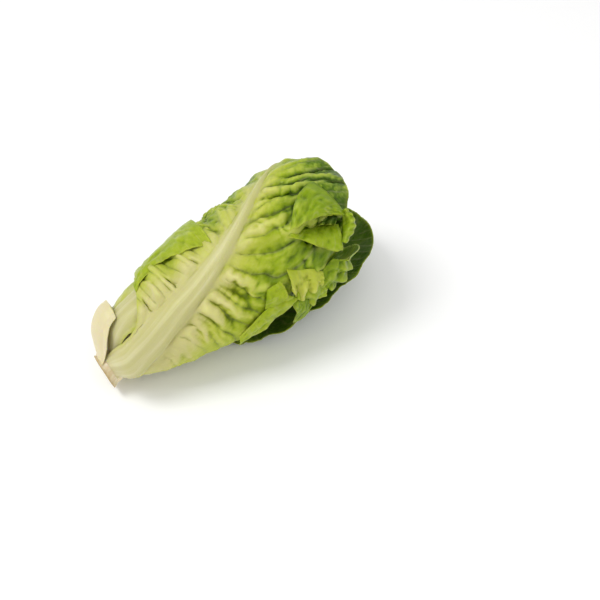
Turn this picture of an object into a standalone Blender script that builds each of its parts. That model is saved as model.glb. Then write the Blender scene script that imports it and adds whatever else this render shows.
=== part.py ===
"""A romaine heart, trimmed and lying on its side: the cut stem and each leaf that grows from it.

Lengths are in millimetres and angles in degrees, up to the meshes, which are in metres.
The head's own frame has x along the stem, from the cut to the leaf tips, an azimuth round it that is 0 at the
top and 90 towards -Y, and the radius from the stem's axis. A leaf is drawn flat, by its place along its middle
rib and across from it, and is then laid round the head.
"""

import math
from dataclasses import dataclass

import bpy
import numpy as np

MM = 0.001

# How the head lies. Its lower side is pressed flatter by the surface, which is at z = 0.
HEAD_TILT = 13.0
STEM_AXIS_HEIGHT = 18.0
HEAD_SHIFT = (-98.6, -1.25)
SQUEEZE_SHARPNESS = 6.0
LEAST_DOWNWARD = 0.02
SURFACE_PRESS = 1.4

# The stem leaves the head a little off its middle, towards this azimuth.
STEM_OFFSET = 4.5
STEM_OFFSET_AZIMUTH = 123.0
STEM_OFFSET_END_X = 28.0

# The stem: a flared cut end, a straight butt and a taper inside the head.
STEM_CUT_RADIUS = 11.6
STEM_NECK_RADIUS = 10.2
STEM_NECK_X = 4.0
STEM_TAPER_X = 14.0
STEM_TIP_RADIUS = 2.6
STEM_LENGTH = 54.0
STEM_SIDES = 28
STEM_RINGS = 12
STEM_RING_CROWDING = 1.4

# Every leaf: its blade, how its rib swells, and how it is laid round the head.
BLADE_THICKNESS = 0.9
RIB_NARROWING = 0.7
RIB_THINNING = 0.8
RIB_SHARE_OF_LEAF = 0.85
MARGIN_GATHER = 20.0
BLADE_ROOM = 12.0
RIB_SHIFT_RISE = 16.0
RIB_SHIFT_FALL = 44.0
PROFILE_STEPS = 160
RIB_COLUMNS = 4

# The inner leaves stand a golden angle apart. Their ages are their places in the order of growth, and the
# second is LEAF_LEFT, which has its own shape. Each pair is a measure at age 0 and its change with each age.
GOLDEN_ANGLE = 137.5
INNER_AGES = (1, 3, 4, 5, 6, 7, 8, 9, 10)
FEWER_COLUMNS_AGE = 5
INNER_GAP_TO_STEM = 2.9
INNER_BASE_X = (9.5, 2.8)
INNER_BULGE_X = (116.0, -1.5)
INNER_RADIUS = (35.6, -2.5)
INNER_TIP_SHARE = 0.62
INNER_TIP_X = (183.0, -3.6)
INNER_HALF = (52.0, -3.4)
INNER_BASE_HALF = (10.0, -0.6)
INNER_RIB_HALF = (9.0, -0.5)
INNER_RIB_THICKNESS = (4.8, -0.26)

OUTER_GREEN = (0.36, 0.52, 0.10, 1.0)
INNER_GREEN = (0.62, 0.72, 0.26, 1.0)
STEM_CREAM = (0.84, 0.81, 0.60, 1.0)
LEAF_ROUGHNESS = 0.45
SMOOTH_ANGLE = 50.0


@dataclass
class Ridge:
    """A pleat raised on the flat leaf: its middle, its heading, its half length, half width and height."""

    along: float
    across: float
    heading: float
    reach: float
    spread: float
    height: float


@dataclass
class Notch:
    """A place where a margin draws in: which side, at what share of the length, how deep and how long."""

    side: int
    share: float
    depth: float
    spread: float


@dataclass
class Leaf:
    """One leaf: where it leaves the stem, how it bulges, how wide it is and how its blade waves."""

    name: str
    azimuth: float
    base_x: float
    base_radius: float
    bulge_x: float
    bulge_radius: float
    tip_x: float
    tip_radius: float
    length: float = 0.0
    tip_curl: float = 0.84
    rise_power: float = 0.78
    base_half: tuple = (12.0, 12.0)
    half: tuple = (50.0, 50.0)
    widest: tuple = (0.5, 0.5)
    wing_from: tuple = (0.0, 0.0)
    rise_sharpness: tuple = (1.0, 1.0)
    tip_half: tuple = (0.6, 0.6)
    tip_sag: float = 0.08
    swerve: float = 0.0
    swerve_from: float = 0.15
    swerve_power: float = 0.9
    rib_half: tuple = (11.0, 1.5)
    rib_thickness: tuple = (6.0, 0.8)
    rib_outward: float = 0.7
    pucker: float = 0.5
    pucker_pitch: float = 24.0
    pucker_sweep: float = 0.6
    ruffle: tuple = (0.8, 0.8)
    ruffle_pitch: float = 28.0
    flare: tuple = (0.0, 0.0)
    flare_from: float = 0.5
    lift: tuple = (0.0, 0.0)
    phase: float = 0.0
    rib_shift: float = 0.0
    ridges: tuple = ()
    notches: tuple = ()
    rows: int = 20
    blade_columns: int = 5


LEAF_UNDER = Leaf(
    "leaf_under", 186.0, 7.0, 14.6, 110.0, 46.5, 198.0, 27.0, length=200.0, tip_curl=1.15,
    base_half=(9.0, 13.5), half=(45.0, 58.0), widest=(0.58, 0.55), wing_from=(0.2, 0.0),
    rib_half=(12.5, 2.0), rib_thickness=(7.0, 1.0), pucker=0.4,
    ruffle=(1.2, 0.8), flare=(2.0, 1.0), lift=(-2.0, 1.0), phase=2.1, rows=25, blade_columns=5,
)
LEAF_TOP = Leaf(
    "leaf_top", 36.0, 7.5, 14.6, 152.0, 47.0, 196.0, 24.0, length=184.0, tip_curl=1.15, rise_power=0.6,
    base_half=(11.0, 13.0), half=(54.0, 64.0), widest=(0.37, 0.72), wing_from=(0.12, 0.09), rib_shift=6.0,
    rise_sharpness=(1.3, 0.5), tip_half=(0.62, 0.75), tip_sag=0.1,
    swerve=-53.0, swerve_from=0.13, swerve_power=1.0, rib_half=(14.5, 1.5), rib_thickness=(7.5, 1.0),
    pucker=1.0, ruffle=(1.0, 2.0), ruffle_pitch=24.0, lift=(0.0, -2.0), phase=0.4,
    ridges=(
        Ridge(92.0, 23.0, 90.0, 15.0, 6.0, 4.0), Ridge(108.0, 30.0, 80.0, 16.0, 6.0, -2.0),
        Ridge(126.0, 28.0, 68.0, 22.0, 8.5, 3.5), Ridge(139.0, 45.0, 50.0, 12.0, 6.5, 4.0),
        Ridge(135.0, -40.0, 0.0, 35.0, 22.0, -4.0),
    ),
    notches=(Notch(1, 0.5, 5.0, 0.12),),
    rows=36, blade_columns=6,
)
LEAF_BACK = Leaf(
    "leaf_back", -90.0, 10.0, 13.4, 118.0, 39.25, 180.0, 25.0, rise_power=0.55,
    base_half=(12.0, 7.0), half=(52.0, 46.0), wing_from=(0.0, 0.22), lift=(-3.0, 0.0),
    rib_half=(11.5, 2.0), rib_thickness=(7.0, 1.0), phase=0.2, rows=20, blade_columns=4,
)
LEAF_LEFT = Leaf(
    "leaf_left", -6.0, 12.0, 12.5, 116.0, 36.5, 178.0, 23.0, rise_power=0.47,
    base_half=(15.0, 11.0), half=(50.0, 50.0), wing_from=(0.0, 0.06), rib_half=(14.0, 1.8),
    rib_thickness=(5.0, 1.0), rib_outward=0.4, phase=1.3, rows=20, blade_columns=4,
)
LEAF_STUB = Leaf(
    "leaf_stub", -34.0, 4.5, 14.6, 22.0, 29.3, 34.0, 29.5, length=27.0, tip_curl=1.15, rise_power=0.85,
    base_half=(9.0, 13.0), half=(13.0, 18.0), tip_half=(0.9, 0.9), tip_sag=0.05,
    rib_half=(10.0, 13.0), rib_thickness=(5.6, 5.4), rib_outward=0.7, pucker=0.0, ruffle=(0.0, 0.0),
    rows=9, blade_columns=1,
)


def at_age(measure, age):
    """A measure of the inner leaf of this age."""
    return measure[0] + measure[1] * age


def inner_leaf(age):
    """A leaf of the inner head. Each next one stands further round, higher up the stem, and is smaller."""
    base_x, bulge_x, tip_x = at_age(INNER_BASE_X, age), at_age(INNER_BULGE_X, age), at_age(INNER_TIP_X, age)
    radius = at_age(INNER_RADIUS, age)
    flares = age == INNER_AGES[0]
    return Leaf(
        f"leaf_inner_{age}", LEAF_BACK.azimuth - GOLDEN_ANGLE * age, base_x,
        stem_radius(base_x) + INNER_GAP_TO_STEM, bulge_x, radius, tip_x, INNER_TIP_SHARE * radius,
        base_half=(at_age(INNER_BASE_HALF, age),) * 2, half=(at_age(INNER_HALF, age),) * 2,
        rib_half=(at_age(INNER_RIB_HALF, age), 1.4), rib_thickness=(at_age(INNER_RIB_THICKNESS, age), 0.7),
        rib_outward=0.6, flare=(9.0, 3.0) if flares else (0.0, 0.0), flare_from=0.65, pucker=0.35,
        ruffle=(2.0, 1.0) if flares else (0.7, 0.7), phase=1.7 * age,
        rows=20 - age, blade_columns=4 if age < FEWER_COLUMNS_AGE else 3,
    )


def smooth_step(value):
    """0 below 0, 1 above 1, and a smooth rise between them."""
    clipped = np.clip(value, 0.0, 1.0)
    return clipped * clipped * (3.0 - 2.0 * clipped)


def stem_radius(x):
    """The stem's radius: flared at the cut, straight, then tapering to the growing tip."""
    flare = (STEM_CUT_RADIUS - STEM_NECK_RADIUS) * (1.0 - smooth_step(x / STEM_NECK_X))
    share = np.clip((x - STEM_TAPER_X) / (STEM_LENGTH - STEM_TAPER_X), 0.0, 1.0)
    return STEM_NECK_RADIUS + flare + (STEM_TIP_RADIUS - STEM_NECK_RADIUS) * share


def leaf_profile(leaf):
    """The leaf's middle line in the plane through the stem: arc length, x and radius."""
    share = np.linspace(0.0, 1.0, PROFILE_STEPS)
    rise_x = leaf.base_x + (leaf.bulge_x - leaf.base_x) * share
    rise = np.sin(math.pi / 2 * share**leaf.rise_power)
    rise_r = leaf.base_radius + (leaf.bulge_radius - leaf.base_radius) * rise
    turn = math.pi / 2 * leaf.tip_curl * share[1:]
    fall_x = leaf.bulge_x + (leaf.tip_x - leaf.bulge_x) * np.sin(turn)
    fall_r = leaf.bulge_radius - (leaf.bulge_radius - leaf.tip_radius) * (1.0 - np.cos(turn))
    x = np.concatenate([rise_x, fall_x])
    radius = np.concatenate([rise_r, fall_r])
    arc = np.concatenate([[0.0], np.cumsum(np.hypot(np.diff(x), np.diff(radius)))])
    return arc, x, radius


def leaf_length(leaf):
    """The leaf's length along its middle rib: its own, or else its whole profile."""
    return leaf.length or leaf_profile(leaf)[0][-1]


def half_width(leaf, share, side):
    """Distance from the leaf's middle rib to its left (0) or right (1) margin, at a share of its length."""
    base, most, widest = leaf.base_half[side], leaf.half[side], leaf.widest[side]
    wing = smooth_step((share - leaf.wing_from[side]) / (widest - leaf.wing_from[side]))
    rise = base + (most - base) * wing ** leaf.rise_sharpness[side]
    beyond = np.clip((share - widest) / (1.0 - widest), 0.0, 1.0)
    width = np.where(share < widest, rise, most * (1.0 - (1.0 - leaf.tip_half[side]) * beyond**2))
    for notch in leaf.notches:
        if notch.side == side:
            width = width - notch.depth * np.exp(-(((share - notch.share) / notch.spread) ** 2))
    return width


def flat_leaf(leaf, rows, rib_columns, blade_columns):
    """The leaf laid flat: share of its length, place along and across, share of its half blade, rib share and
    the room that the blade's width leaves for waves."""
    share = np.linspace(0.0, 1.0, rows + 1)[:, None]
    count = 2 * blade_columns + rib_columns
    column = np.linspace(-1.0, 1.0, count + 1)[None, :]
    rib_part = rib_columns / count
    half = np.where(column < 0, half_width(leaf, share, 0), half_width(leaf, share, 1))
    rib = leaf.rib_half[0] + (leaf.rib_half[1] - leaf.rib_half[0]) * share**RIB_NARROWING
    rib = np.minimum(rib, RIB_SHARE_OF_LEAF * half)
    in_rib = np.abs(column) <= rib_part + 1e-9
    blade_share = np.clip((np.abs(column) - rib_part) / (1.0 - rib_part), 0.0, 1.0)
    across = np.where(in_rib, column / rib_part * rib, np.sign(column) * (rib + blade_share * (half - rib)))
    margin = np.abs(across) / half
    along = leaf_length(leaf) * (share - leaf.tip_sag * margin**2 * share**2)
    rib_share = np.clip(np.abs(across) / rib, 0.0, 1.0)
    room = smooth_step((half - rib) / BLADE_ROOM)
    return share, along, across, blade_share, rib_share, room


def blade_height(leaf, share, along, across, blade_share, room):
    """How far the blade stands out of the leaf's smooth form: puckers by the rib, ruffles at the margin."""
    side = np.where(across < 0, 0, 1)
    envelope = np.sin(math.pi * np.clip(blade_share, 0.0, 1.0) ** 0.6) * smooth_step(share / 0.12)
    swept = along - leaf.pucker_sweep * np.abs(across)
    wave = np.cos(2 * math.pi * swept / leaf.pucker_pitch + leaf.phase + 2.3 * side)
    wave += 0.5 * np.cos(2 * math.pi * swept / (1.7 * leaf.pucker_pitch) + 2.0 * leaf.phase + side)
    height = leaf.pucker * envelope * wave
    edge = blade_share**3 * smooth_step(share / 0.3)
    ruffle = np.cos(2 * math.pi * along / leaf.ruffle_pitch + 3.0 * leaf.phase + 1.9 * side)
    height += np.where(across < 0, *leaf.ruffle) * edge * ruffle
    flaring = smooth_step((share - leaf.flare_from) / (1.0 - leaf.flare_from))
    height += np.where(across < 0, *leaf.flare) * blade_share**2 * flaring
    height += np.where(across < 0, *leaf.lift) * blade_share * smooth_step(share / 0.25)
    for ridge in leaf.ridges:
        cosine, sine = math.cos(math.radians(ridge.heading)), math.sin(math.radians(ridge.heading))
        run = (along - ridge.along) * cosine + (across - ridge.across) * sine
        off = (across - ridge.across) * cosine - (along - ridge.along) * sine
        height += ridge.height * np.exp(-((run / ridge.reach) ** 4) - (off / ridge.spread) ** 2)
    return height * room


def rib_path(leaf):
    """The middle rib's course round the head: place along it, arc along the profile, azimuth and heading."""
    share = np.linspace(0.0, 1.0, PROFILE_STEPS)
    along = share * leaf_length(leaf)
    turned = np.clip((share - leaf.swerve_from) / (1.0 - leaf.swerve_from), 0.0, 1.0)
    heading = np.radians(leaf.swerve * turned**leaf.swerve_power)
    step = along[1] - along[0]
    arc = np.concatenate([[0.0], np.cumsum(np.cos(heading[1:]) * step)])
    profile_arc, _, profile_radius = leaf_profile(leaf)
    radius = np.interp(arc, profile_arc, profile_radius)
    azimuth = leaf.azimuth + np.degrees(np.cumsum(np.sin(heading) / radius) * step)
    return along, arc, azimuth, heading


def squeeze(x, azimuth):
    """The share of its radius that a point keeps where the surface presses the head flatter."""
    tilt = math.radians(HEAD_TILT)
    below = np.maximum(-np.cos(np.radians(azimuth)), LEAST_DOWNWARD)
    reach = (STEM_AXIS_HEIGHT + x * math.sin(tilt)) / math.cos(tilt) / below
    _, under_x, under_radius = leaf_profile(LEAF_UNDER)
    outermost = np.interp(x, under_x[:PROFILE_STEPS], under_radius[:PROFILE_STEPS])
    return (1.0 + (outermost / reach) ** SQUEEZE_SHARPNESS) ** (-1.0 / SQUEEZE_SHARPNESS)


def head_to_world(x, azimuth, radius):
    """World place, in millimetres, of a point given in the head's frame."""
    angle, bend = np.radians(azimuth), math.radians(STEM_OFFSET_AZIMUTH)
    offset = STEM_OFFSET * (1.0 - smooth_step(x / STEM_OFFSET_END_X))
    side = -radius * np.sin(angle) - offset * math.sin(bend)
    up = radius * np.cos(angle) + offset * math.cos(bend)
    tilt = math.radians(HEAD_TILT)
    world_x = x * math.cos(tilt) - up * math.sin(tilt) + HEAD_SHIFT[0]
    world_z = x * math.sin(tilt) + up * math.cos(tilt) + STEM_AXIS_HEIGHT
    return np.stack([world_x, side + HEAD_SHIFT[1], world_z], axis=-1)


def leaf_middle(leaf, rows, rib_columns, blade_columns):
    """World places of the leaf's middle surface on its grid, with its rib share and the share of its length."""
    share, along, across, blade_share, rib_share, room = flat_leaf(leaf, rows, rib_columns, blade_columns)
    height = blade_height(leaf, share, along, across, blade_share, room)
    path_along, path_arc, path_azimuth, path_heading = rib_path(leaf)
    heading = np.interp(along, path_along, path_heading)
    arc = np.interp(along, path_along, path_arc) - across * np.sin(heading)
    profile_arc, profile_x, profile_radius = leaf_profile(leaf)
    x = np.interp(arc, profile_arc, profile_x)
    base = np.interp(arc, profile_arc, profile_radius)
    gathered = np.sqrt(base**2 + (MARGIN_GATHER * arc / profile_arc[-1]) ** 2)
    shift = leaf.rib_shift * smooth_step(along / RIB_SHIFT_RISE)
    shift = shift * (1.0 - smooth_step((along - RIB_SHIFT_RISE) / RIB_SHIFT_FALL))
    azimuth = np.interp(along, path_along, path_azimuth) + np.degrees((across + shift) * np.cos(heading) / gathered)
    middle = head_to_world(x, azimuth, (base + height) * squeeze(x, azimuth))
    middle[..., 2] = np.maximum(middle[..., 2] - SURFACE_PRESS, BLADE_THICKNESS / 2)
    return middle, rib_share, share


def grid_normals(points):
    """Unit normals of a grid of points, pointing out of the head."""
    normal = np.cross(np.gradient(points, axis=1), np.gradient(points, axis=0))
    return normal / np.maximum(np.linalg.norm(normal, axis=-1, keepdims=True), 1e-9)


def leaf_faces(leaf, rows, rib_columns, blade_columns):
    """The outer and the inner face of a leaf as grids of world places, in millimetres."""
    middle, rib_share, share = leaf_middle(leaf, rows, rib_columns, blade_columns)
    normal = grid_normals(middle)
    rib = leaf.rib_thickness[0] + (leaf.rib_thickness[1] - leaf.rib_thickness[0]) * share**RIB_THINNING
    rib = rib * (1.0 - rib_share**2) * (0.5 + 0.5 * smooth_step(share / 0.06))
    outward = BLADE_THICKNESS / 2 + leaf.rib_outward * rib
    downward = np.maximum(-normal[..., 2], LEAST_DOWNWARD)
    outward = np.minimum(outward, middle[..., 2] / downward)
    outer = middle + normal * outward[..., None]
    inner = middle - normal * (BLADE_THICKNESS / 2 + (1.0 - leaf.rib_outward) * rib)[..., None]
    outer[..., 2] = np.maximum(outer[..., 2], 0.0)
    return outer, inner


def add_solid(name, points, faces, colour):
    """One named object from world points in millimetres, with its own material."""
    mesh = bpy.data.meshes.new(name)
    mesh.from_pydata([tuple(point * MM) for point in points], [], faces)
    mesh.shade_smooth()
    mesh.set_sharp_from_angle(angle=math.radians(SMOOTH_ANGLE))
    material = bpy.data.materials.new(name)
    material.use_nodes = True
    shader = material.node_tree.nodes["Principled BSDF"]
    shader.inputs["Base Color"].default_value = colour
    shader.inputs["Roughness"].default_value = LEAF_ROUGHNESS
    mesh.materials.append(material)
    bpy.context.scene.collection.objects.link(bpy.data.objects.new(name, mesh))


def shell_triangles(row_count, column_count):
    """Triangles of two like grids joined round their rims, split alike on both faces."""
    second = row_count * column_count
    faces = []
    for i in range(row_count - 1):
        for j in range(column_count - 1):
            a = i * column_count + j
            b, c, d = a + 1, a + column_count + 1, a + column_count
            faces += [(a, b, c), (a, c, d)]
            faces += [(second + a, second + c, second + b), (second + a, second + d, second + c)]
    rim = list(range(column_count))
    rim += [i * column_count + column_count - 1 for i in range(1, row_count)]
    rim += [(row_count - 1) * column_count + j for j in range(column_count - 2, -1, -1)]
    rim += [i * column_count for i in range(row_count - 2, 0, -1)]
    for a, b in zip(rim, rim[1:] + rim[:1]):
        faces += [(a, second + b, b), (a, second + a, second + b)]
    return faces


def add_leaf(leaf, colour):
    """A leaf as one closed solid: its outer face, its inner face and the thin rim between them."""
    outer, inner = leaf_faces(leaf, leaf.rows, RIB_COLUMNS, leaf.blade_columns)
    points = np.concatenate([outer.reshape(-1, 3), inner.reshape(-1, 3)])
    add_solid(leaf.name, points, shell_triangles(*outer.shape[:2]), colour)


def add_stem():
    """The stem as rings joined along x, closed by the flat cut and by the growing tip."""
    ring_x = STEM_LENGTH * np.linspace(0.0, 1.0, STEM_RINGS) ** STEM_RING_CROWDING
    azimuth = np.arange(STEM_SIDES) * 360.0 / STEM_SIDES
    points = [head_to_world(0.0, 0.0, 0.0)]
    for x in ring_x:
        points += list(head_to_world(x + 0.0 * azimuth, azimuth, stem_radius(x) + 0.0 * azimuth))
    points.append(head_to_world(STEM_LENGTH + STEM_TIP_RADIUS / 2, 0.0, 0.0))
    last, top = len(points) - 1, 1 + (STEM_RINGS - 1) * STEM_SIDES
    faces = []
    for k in range(STEM_SIDES):
        following = (k + 1) % STEM_SIDES
        faces.append((0, 1 + following, 1 + k))
        for ring in range(STEM_RINGS - 1):
            a, b = 1 + ring * STEM_SIDES + k, 1 + ring * STEM_SIDES + following
            faces += [(a, b, b + STEM_SIDES), (a, b + STEM_SIDES, a + STEM_SIDES)]
        faces.append((last, top + k, top + following))
    points = np.array(points)
    points[:, 2] -= SURFACE_PRESS
    add_solid("stem", points, faces, STEM_CREAM)


def main():
    for old in list(bpy.data.objects):
        bpy.data.objects.remove(old)
    add_stem()
    for leaf in (LEAF_UNDER, LEAF_TOP, LEAF_BACK, LEAF_LEFT, LEAF_STUB):
        add_leaf(leaf, OUTER_GREEN)
    for age in INNER_AGES:
        add_leaf(inner_leaf(age), INNER_GREEN)


main()
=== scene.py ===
"""The looks of the romaine heart: its stem and its leaves as fine meshes, in the place of plain solids.

Lengths are in millimetres and angles in degrees, up to the meshes, which are in metres.
The head's own frame has x along the stem, from the cut to the leaf tips, an azimuth round it that is 0 at
the top and 90 towards -Y, and the radius from the stem's axis. A leaf is drawn flat, by its place along its
middle rib and across from it, is given its waves and folds there, and is then laid round the head.
"""

import math
from dataclasses import dataclass
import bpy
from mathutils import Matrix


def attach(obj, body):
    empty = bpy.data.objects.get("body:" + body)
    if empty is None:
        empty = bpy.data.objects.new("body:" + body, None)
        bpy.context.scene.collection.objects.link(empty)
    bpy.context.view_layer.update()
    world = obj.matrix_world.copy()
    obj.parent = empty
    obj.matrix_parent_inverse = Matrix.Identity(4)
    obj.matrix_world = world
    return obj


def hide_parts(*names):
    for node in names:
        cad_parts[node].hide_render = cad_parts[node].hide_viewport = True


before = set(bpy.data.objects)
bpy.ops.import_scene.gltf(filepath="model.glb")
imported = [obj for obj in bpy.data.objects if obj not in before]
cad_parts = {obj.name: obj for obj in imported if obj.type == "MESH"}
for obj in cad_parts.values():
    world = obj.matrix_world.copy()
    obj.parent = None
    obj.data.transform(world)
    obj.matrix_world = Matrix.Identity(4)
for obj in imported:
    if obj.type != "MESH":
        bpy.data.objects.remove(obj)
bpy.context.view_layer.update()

from types import SimpleNamespace

import bmesh
import bpy
import numpy as np
from mathutils import Matrix, Vector

MM = 0.001

# How the head lies. Its lower side is pressed flatter by the surface, which is at z = 0.
HEAD_TILT = 13.0
STEM_AXIS_HEIGHT = 18.0
HEAD_SHIFT = (-98.6, -1.25)
SQUEEZE_SHARPNESS = 6.0
LEAST_DOWNWARD = 0.02
SURFACE_PRESS = 1.4

# The stem leaves the head a little off its middle, towards this azimuth.
STEM_OFFSET = 4.5
STEM_OFFSET_AZIMUTH = 123.0
STEM_OFFSET_END_X = 28.0

# The stem: a flared cut end, a straight butt and a taper inside the head.
STEM_CUT_RADIUS = 11.6
STEM_NECK_RADIUS = 10.2
STEM_NECK_X = 4.0
STEM_TAPER_X = 14.0
STEM_TIP_RADIUS = 2.6
STEM_LENGTH = 54.0
STEM_SIDES = 160
STEM_RINGS = 90
CUT_RINGS = 30
CUT_RELIEF = 0.6
BROWNED_RIM = (0.72, 0.25)

# Every leaf: its blade, how its rib swells, and how it is laid round the head.
BLADE_THICKNESS = 0.9
MARGIN_THICKNESS = 0.45
RIB_NARROWING = 0.7
RIB_THINNING = 0.8
RIB_SHARE_OF_LEAF = 0.85
BLADE_ROOM = 12.0
RIB_SHIFT_RISE = 16.0
RIB_SHIFT_FALL = 44.0
MARGIN_GATHER = 20.0
PROFILE_STEPS = 160

# Where a leaf grows out of the stem, its base draws in to the stem over this length.
ROOT_LENGTH = 13.0
ROOT_BACK = 3.0
ROOT_DEPTH = 0.8

# The inner leaves stand a golden angle apart. Each pair is a measure at age 0 and its change with each age.
GOLDEN_ANGLE = 137.5
INNER_AGES = (1, 3, 4, 5, 6, 7, 8, 9, 10)
INNER_GAP_TO_STEM = 2.9
INNER_BASE_X = (9.5, 2.8)
INNER_BULGE_X = (116.0, -1.5)
INNER_RADIUS = (35.6, -2.5)
INNER_TIP_SHARE = 0.62
INNER_TIP_X = (183.0, -3.6)
INNER_HALF = (52.0, -3.4)
INNER_BASE_HALF = (10.0, -0.6)
INNER_RIB_HALF = (9.0, -0.5)
INNER_RIB_THICKNESS = (4.8, -0.26)

# Fine waves. A stretch is where it starts and how long it is, as shares of the leaf's length unless it says
# mm. Distances from the rib are those over which something grows. Seeds are added to the leaf's own.
HOOD_STRETCH = (0.68, 0.14)

# Side veins. Each wander is its reach, its swells along and across the leaf, and its seed.
VEIN_SWEEP_STRETCH = (0.45, 0.35)
VEIN_BEND = 0.006
VEIN_WANDERS = ((3.5, 26.0, 22.0, 20), (1.2, 9.0, 8.0, 19))
VEIN_HALF = 0.45
VEIN_STRENGTH = 0.6
VEIN_FROM_RIB = 1.5
NET_HALF = 0.18
NET_STRENGTH = 0.25
NET_FROM_RIB = 4.0

# Pleats between the side veins. They are lower in the hood, far from the rib and low on the right blade.
PLEAT_ROUNDING = 0.7
PLEAT_LEVEL = 0.6
PLEAT_STRENGTH = (0.45, 0.9)
PLEAT_FROM_RIB = 5.0
PLEAT_FAR_MM = (22.0, 20.0)
PLEAT_FAR_LOSS = 0.55
PLEAT_PATCHES = (0.65, 0.5)
PLEAT_PATCH_SIZE = (21.0, 13.0)
PLEAT_HOOD_LOSS = 0.6
PLEAT_LOW_SHARE = 0.2
PLEAT_LOW_STRETCH = (0.16, 0.2)

# Crumples. Each crease is its share, its depth, its swells along and across the veins, and its seed.
CRUMPLE_CREASES = ((1.0, 2.0, 7.5, 24.0, 24), (0.3, 2.2, 3.2, 13.0, 25))
CRUMPLE_POWER = 1.2
CRUMPLE_FROM_RIB = 7.0
CRUMPLE_FROM_BASE = 0.2
CRUMPLE_HOOD_STRETCH = (0.66, 0.14)
CRUMPLE_HOOD_LOSS = 0.55
CRUMPLE_LEFT_SHARE = 0.55

# Blisters between the small veins, in two sizes, each by its shares of the blister size along and across.
BLISTER_LARGE = (1.0, 0.8)
BLISTER_SMALL = (0.42, 0.36)
BLISTER_SHOULDERS = (0.55, 0.5)
BLISTER_DIP = 0.25
BLISTER_SMALL_SHARE = 0.22
BLISTER_FROM_RIB = 6.0
BLISTER_FROM_BASE = 0.15
BLISTER_LEFT_SHARE = 0.5

# Ridges wander by a share of their half width, and vary in height about a middle value.
RIDGE_WANDER = 0.55
RIDGE_HEIGHTS = (0.9, 0.5)
RIDGE_FROM_RIB = 4.0

# Lobes: what their root adds to half their thickness, their veins, which fan out, and their pale margin.
LOBE_ROOT_EXTRA = 0.12
LOBE_VEIN_PITCH = 4.0
LOBE_VEIN_HALF = 0.05
LOBE_VEIN_STRENGTH = 0.5
LOBE_MARGIN = 0.7
LOBE_MOTTLE = 0.06
LOBE_PLACE_STEP = 30.0

# Greens and the rib's streaks.
RIB_HALO = (9.0, 2.5)
RIB_CORE_POWER_RIGHT = 6.0
STREAK_LEAN = 1.1
STREAK_PITCH = 1.7
STREAK_LENGTH = 14.0
PALE_MARGIN = 1.1
BLEACHED_BASE = 9.0
BLEACHED_BASE_SHARE = 0.45


@dataclass
class Ridge:
    """A pleat raised on the flat leaf: its middle, its heading, its half length, half width and height.

    Lean shifts its crest sideways, so that it hangs over what lies there, and bow curves it.
    """

    along: float
    across: float
    heading: float
    reach: float
    spread: float
    height: float
    lean: float = 0.0
    bow: float = 0.0


@dataclass
class Lobe:
    """A lobe that stands off a leaf's blade, through lines from where it leaves the blade to its free edge.

    Each line is places along, across and above the leaf. The lobe bows out between its root and its edge,
    and ruffles towards its edge. Its greens are those of its root and of its edge.
    """

    lines: tuple
    bow: float = 1.5
    ruffle: float = 0.8
    ruffles: float = 2.5
    phase: float = 0.0
    ragged: float = 0.03
    crumple: float = 0.6
    greens: tuple = (0.5, 0.6)
    rows: int = 30
    columns: int = 56


@dataclass
class Notch:
    """A place where a margin draws in: which side, at what share of the length, how deep and how long."""

    side: int
    share: float
    depth: float
    spread: float


@dataclass
class Leaf:
    """One leaf: where it leaves the stem, how it bulges, how wide it is and how its blade waves."""

    name: str
    azimuth: float
    base_x: float
    base_radius: float
    bulge_x: float
    bulge_radius: float
    tip_x: float
    tip_radius: float
    length: float = 0.0
    tip_curl: float = 0.84
    rise_power: float = 0.78
    base_half: tuple = (12.0, 12.0)
    half: tuple = (50.0, 50.0)
    widest: tuple = (0.5, 0.5)
    wing_from: tuple = (0.0, 0.0)
    rise_sharpness: tuple = (1.0, 1.0)
    tip_half: tuple = (0.6, 0.6)
    tip_sag: float = 0.08
    swerve: float = 0.0
    swerve_from: float = 0.15
    swerve_power: float = 0.9
    rib_half: tuple = (11.0, 1.5)
    rib_thickness: tuple = (6.0, 0.8)
    rib_outward: float = 0.7
    pucker: float = 0.5
    pucker_pitch: float = 24.0
    pucker_sweep: float = 0.6
    ruffle: tuple = (0.8, 0.8)
    ruffle_pitch: float = 28.0
    flare: tuple = (0.0, 0.0)
    flare_from: float = 0.5
    lift: tuple = (0.0, 0.0)
    phase: float = 0.0
    rib_shift: float = 0.0
    rib_edge: float = 0.0
    rib_fade: float = 0.25
    bleached: float = 0.0
    soft_side: float = 4.0
    ruffle_from: float = 0.0
    ridges: tuple = ()
    lobes: tuple = ()
    notches: tuple = ()
    rows: int = 150
    rib_columns: int = 24
    blade_columns: int = 40
    seed: int = 0
    pleat: tuple = (0.8, 0.8)
    pleat_pitch: tuple = (7.0, 9.0)
    vein_sweep: tuple = (0.25, 0.95)
    crumple: float = 0.7
    blister: float = 0.4
    blister_size: float = 6.0
    ragged: float = 0.8
    greening: tuple = (0.1, 0.9)
    slot: str = "outer_leaf"


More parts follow.
